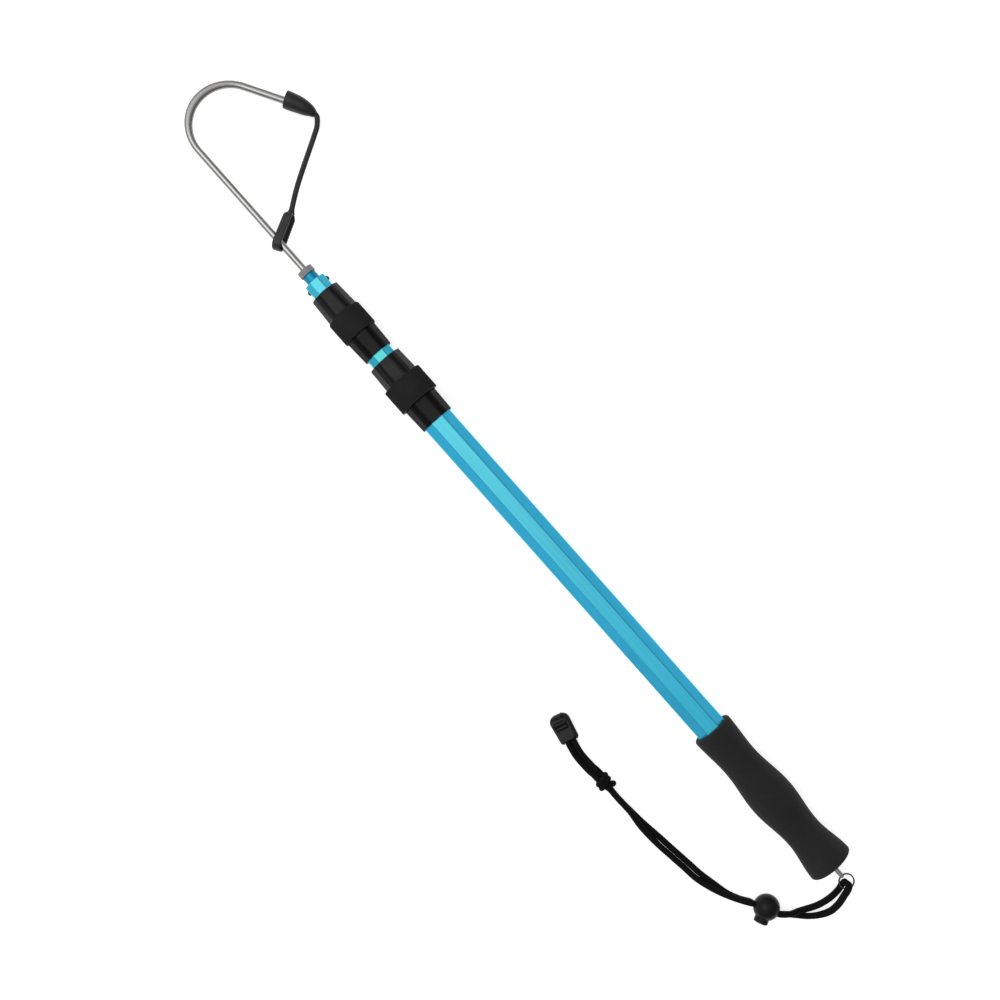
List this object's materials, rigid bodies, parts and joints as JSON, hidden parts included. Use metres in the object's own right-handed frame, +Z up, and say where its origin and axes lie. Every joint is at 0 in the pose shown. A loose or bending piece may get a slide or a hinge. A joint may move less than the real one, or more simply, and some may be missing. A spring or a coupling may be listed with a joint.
{
  "type": "telescopic gaff",
  "caption": "Hand gaff with a three-part octagonal telescopic pole, twist locks, foam grip, stainless hook with a rubber point guard, and a cord lanyard.",
  "frame": {"origin": "on the floor under the middle of the gaff's bounding box, lying on its side, without its lanyard", "axes": "+X along the pole from the grip's butt to the hook, +Z up, the hook's point on the -Y side"},
  "size_m": [0.7748, 0.1802, 0.0359],
  "materials": {
    "anodised_blue": "bright blue anodised, satin gloss",
    "seat_blue": "darker blue anodised, satin",
    "stainless": "polished stainless wire",
    "plated_steel": "bright plated",
    "foam": "matte black closed-cell foam",
    "black_plastic": "satin black moulding",
    "nylon": "natural white nylon",
    "gloss_plastic": "gloss black moulding",
    "grey_plastic": "matte mid grey",
    "rubber": "soft black rubber, slight sheen",
    "cord": "black braided cord"
  },
  "bodies": {
    "handle": {"grip": "foam", "main_tube": "anodised_blue", "butt_plug": "black_plastic", "butt_pin": "plated_steel", "pin_nut": "plated_steel", "lower_lock_body": "black_plastic", "cord_strand_a": "cord", "cord_strand_b": "cord", "cord_knot": "cord", "cord_tail_a": "cord", "cord_tail_b": "cord", "clip_base": "gloss_plastic", "clip_pin": "plated_steel"},
    "lower_collet": {"lower_lock_collet": "nylon"},
    "lower_nut": {"lower_lock_nut": "black_plastic"},
    "middle_section": {"middle_guide": "nylon", "middle_tube": "anodised_blue", "upper_lock_body": "black_plastic"},
    "upper_collet": {"upper_lock_collet": "nylon"},
    "upper_nut": {"upper_lock_nut": "black_plastic"},
    "tip_section": {"tip_guide": "nylon", "tip_tube": "anodised_blue", "hook_seat": "seat_blue", "seat_rivet": "plated_steel", "hook_collar": "grey_plastic", "hook": "stainless", "guard_strap": "rubber", "guard_eyelet": "rubber"},
    "guard_cap": {"guard_cap": "rubber"},
    "ring": {"split_ring": "plated_steel"},
    "cord_lock": {"cord_lock_barrel": "gloss_plastic", "cord_lock_spring": "plated_steel"},
    "plunger": {"cord_lock_plunger": "gloss_plastic"},
    "clip_cover": {"clip_cover": "gloss_plastic"}
  },
  "joints": [
    {"name": "middle_slide", "type": "slide", "parent": "handle", "child": "middle_section", "axis": [1, 0, 0], "range_m": [0, 0.38]},
    {"name": "tip_slide", "type": "slide", "parent": "middle_section", "child": "tip_section", "axis": [1, 0, 0], "range_m": [0, 0.4]},
    {"name": "lower_collet_slide", "type": "slide", "parent": "handle", "child": "lower_collet", "axis": [1, 0, 0], "range_m": [0, 0.00075]},
    {"name": "lower_nut_turn", "type": "hinge", "parent": "lower_collet", "child": "lower_nut", "pos_m": [0.10018, 0.03439, 0.01796], "axis": [1, 0, 0], "range_deg": [0, 180]},
    {"name": "upper_collet_slide", "type": "slide", "parent": "middle_section", "child": "upper_collet", "axis": [1, 0, 0], "range_m": [0, 0.00075]},
    {"name": "upper_nut_turn", "type": "hinge", "parent": "upper_collet", "child": "upper_nut", "pos_m": [0.16548, 0.03439, 0.01796], "axis": [1, 0, 0], "range_deg": [0, 180]},
    {"name": "guard_cap_slide", "type": "slide", "parent": "tip_section", "child": "guard_cap", "axis": [-0.8599, -0.5052, -0.0735], "range_m": [0, 0.022], "deforming": ["guard_strap"]},
    {"name": "ring_swing", "type": "hinge", "parent": "handle", "child": "ring", "pos_m": [-0.37142, 0.03439, 0.01796], "axis": [0, 1, 0], "range_deg": [-90, 90], "deforming": ["cord_strand_a", "cord_strand_b"]},
    {"name": "cord_lock_slide", "type": "slide", "parent": "handle", "child": "cord_lock", "axis": [0.8988, 0.4384, 0], "range_m": [0, 0.012], "deforming": ["cord_strand_a", "cord_strand_b"]},
    {"name": "cord_lock_press", "type": "slide", "parent": "cord_lock", "child": "plunger", "axis": [0.4384, -0.8988, 0], "range_m": [0, 0.0025], "stiffness_N_per_m": 900, "springref_m": -0.001, "deforming": ["cord_lock_spring"]},
    {"name": "clip_cover_hinge", "type": "hinge", "parent": "handle", "child": "clip_cover", "pos_m": [-0.14456, 0.11425, 0.00696], "axis": [0.2538, 0.9673, 0], "range_deg": [0, 95]}
  ],
  "couplings": [
    {"joint": "lower_collet_slide", "follows": "lower_nut_turn", "m_per_rad": 0.00023873},
    {"joint": "upper_collet_slide", "follows": "upper_nut_turn", "m_per_rad": 0.00023873}
  ]
}
